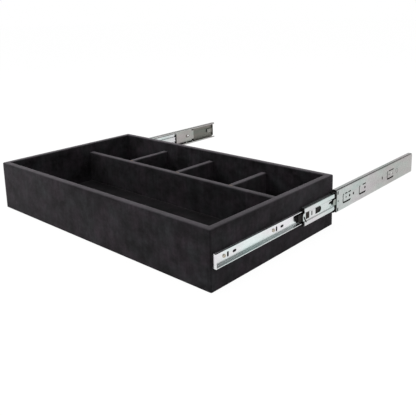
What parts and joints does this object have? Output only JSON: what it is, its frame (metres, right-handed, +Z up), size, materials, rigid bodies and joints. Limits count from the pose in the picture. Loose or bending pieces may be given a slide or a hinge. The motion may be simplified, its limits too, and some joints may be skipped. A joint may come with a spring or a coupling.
{
  "type": "stackable jewellery drawer",
  "caption": "Open velvet-covered drawer box with a long front compartment and small rear ones, on full-extension ball slides.",
  "frame": {"origin": "centre of the box's flat underside", "axes": "+X to the drawer's right as seen from its front, +Y from its front to its back along the slides, +Z up"},
  "size_m": [0.635, 0.698, 0.1016],
  "materials": {
    "black_velvet": "short-pile velvet",
    "black_velvet_pad": "short-pile velvet over a thin pad",
    "birch_plywood": "sanded plywood, covered by the velvet",
    "bright_zinc": "bright zinc plate",
    "grey_zinc": "zinc plate with a faint spangle",
    "passivated_zinc": "yellow passivated zinc plate",
    "bearing_steel": "polished steel",
    "black_plastic": "moulded black plastic",
    "grey_plastic": "moulded dark grey plastic",
    "pale_nylon": "natural moulded nylon"
  },
  "bodies": {
    "drawer": {"front_board": "birch_plywood", "back_board": "birch_plywood", "left_side_board": "birch_plywood", "right_side_board": "birch_plywood", "corner_splines": "birch_plywood", "bottom_board": "birch_plywood", "outer_velvet": "black_velvet", "long_divider_board": "birch_plywood", "long_divider_velvet": "black_velvet", "cross_divider_board_1": "birch_plywood", "cross_divider_board_2": "birch_plywood", "cross_divider_board_3": "birch_plywood", "cross_divider_velvet_1": "black_velvet", "cross_divider_velvet_2": "black_velvet", "cross_divider_velvet_3": "black_velvet", "front_floor_pad": "black_velvet_pad", "rear_floor_pad_1": "black_velvet_pad", "rear_floor_pad_2": "black_velvet_pad", "rear_floor_pad_3": "black_velvet_pad", "rear_floor_pad_4": "black_velvet_pad", "right_drawer_member": "bright_zinc", "right_mounting_screws": "passivated_zinc", "right_lever_rivet": "bright_zinc", "left_drawer_member": "bright_zinc", "left_mounting_screws": "passivated_zinc", "left_lever_rivet": "bright_zinc"},
    "right_middle": {"right_intermediate_member": "bright_zinc", "right_front_catch": "grey_plastic", "right_rear_strip": "black_plastic"},
    "right_cabinet": {"right_cabinet_member": "grey_zinc", "right_rear_stop": "grey_zinc", "right_rear_bumper": "pale_nylon"},
    "right_inner_cage": {"right_inner_cage": "black_plastic", "right_inner_balls": "bearing_steel"},
    "right_outer_cage": {"right_outer_cage": "bright_zinc", "right_outer_ball_strips": "black_plastic", "right_outer_balls": "bearing_steel"},
    "right_lever": {"right_release_lever": "black_plastic"},
    "left_middle": {"left_intermediate_member": "bright_zinc", "left_front_catch": "grey_plastic", "left_rear_strip": "black_plastic"},
    "left_cabinet": {"left_cabinet_member": "grey_zinc", "left_rear_stop": "grey_zinc", "left_rear_bumper": "pale_nylon"},
    "left_inner_cage": {"left_inner_cage": "black_plastic", "left_inner_balls": "bearing_steel"},
    "left_outer_cage": {"left_outer_cage": "bright_zinc", "left_outer_ball_strips": "black_plastic", "left_outer_balls": "bearing_steel"},
    "left_lever": {"left_release_lever": "black_plastic"}
  },
  "joints": [
    {"name": "right_inner_slide", "type": "slide", "parent": "drawer", "child": "right_middle", "axis": [0, 1, 0], "range_m": [-0.21, 0]},
    {"name": "right_inner_cage_roll", "type": "slide", "parent": "drawer", "child": "right_inner_cage", "axis": [0, 1, 0], "range_m": [-0.105, 0]},
    {"name": "right_outer_slide", "type": "slide", "parent": "right_middle", "child": "right_cabinet", "axis": [0, 1, 0], "range_m": [-0.134, 0]},
    {"name": "right_outer_cage_roll", "type": "slide", "parent": "right_middle", "child": "right_outer_cage", "axis": [0, 1, 0], "range_m": [-0.067, 0]},
    {"name": "right_lever_pivot", "type": "hinge", "parent": "drawer", "child": "right_lever", "pos_m": [0.3078, 0.0807, 0.0508], "axis": [1, 0, 0], "range_deg": [0, 6], "stiffness_Nm_per_rad": 0.02},
    {"name": "left_inner_slide", "type": "slide", "parent": "drawer", "child": "left_middle", "axis": [0, 1, 0], "range_m": [-0.21, 0]},
    {"name": "left_inner_cage_roll", "type": "slide", "parent": "drawer", "child": "left_inner_cage", "axis": [0, 1, 0], "range_m": [-0.105, 0]},
    {"name": "left_outer_slide", "type": "slide", "parent": "left_middle", "child": "left_cabinet", "axis": [0, 1, 0], "range_m": [-0.134, 0]},
    {"name": "left_outer_cage_roll", "type": "slide", "parent": "left_middle", "child": "left_outer_cage", "axis": [0, 1, 0], "range_m": [-0.067, 0]},
    {"name": "left_lever_pivot", "type": "hinge", "parent": "drawer", "child": "left_lever", "pos_m": [-0.3078, 0.0807, 0.0508], "axis": [-1, 0, 0], "range_deg": [0, 6], "stiffness_Nm_per_rad": 0.02}
  ],
  "couplings": [
    {"joint": "right_inner_cage_roll", "follows": "right_inner_slide", "ratio": 0.5},
    {"joint": "right_outer_cage_roll", "follows": "right_outer_slide", "ratio": 0.5},
    {"joint": "left_inner_cage_roll", "follows": "left_inner_slide", "ratio": 0.5},
    {"joint": "left_outer_cage_roll", "follows": "left_outer_slide", "ratio": 0.5}
  ]
}
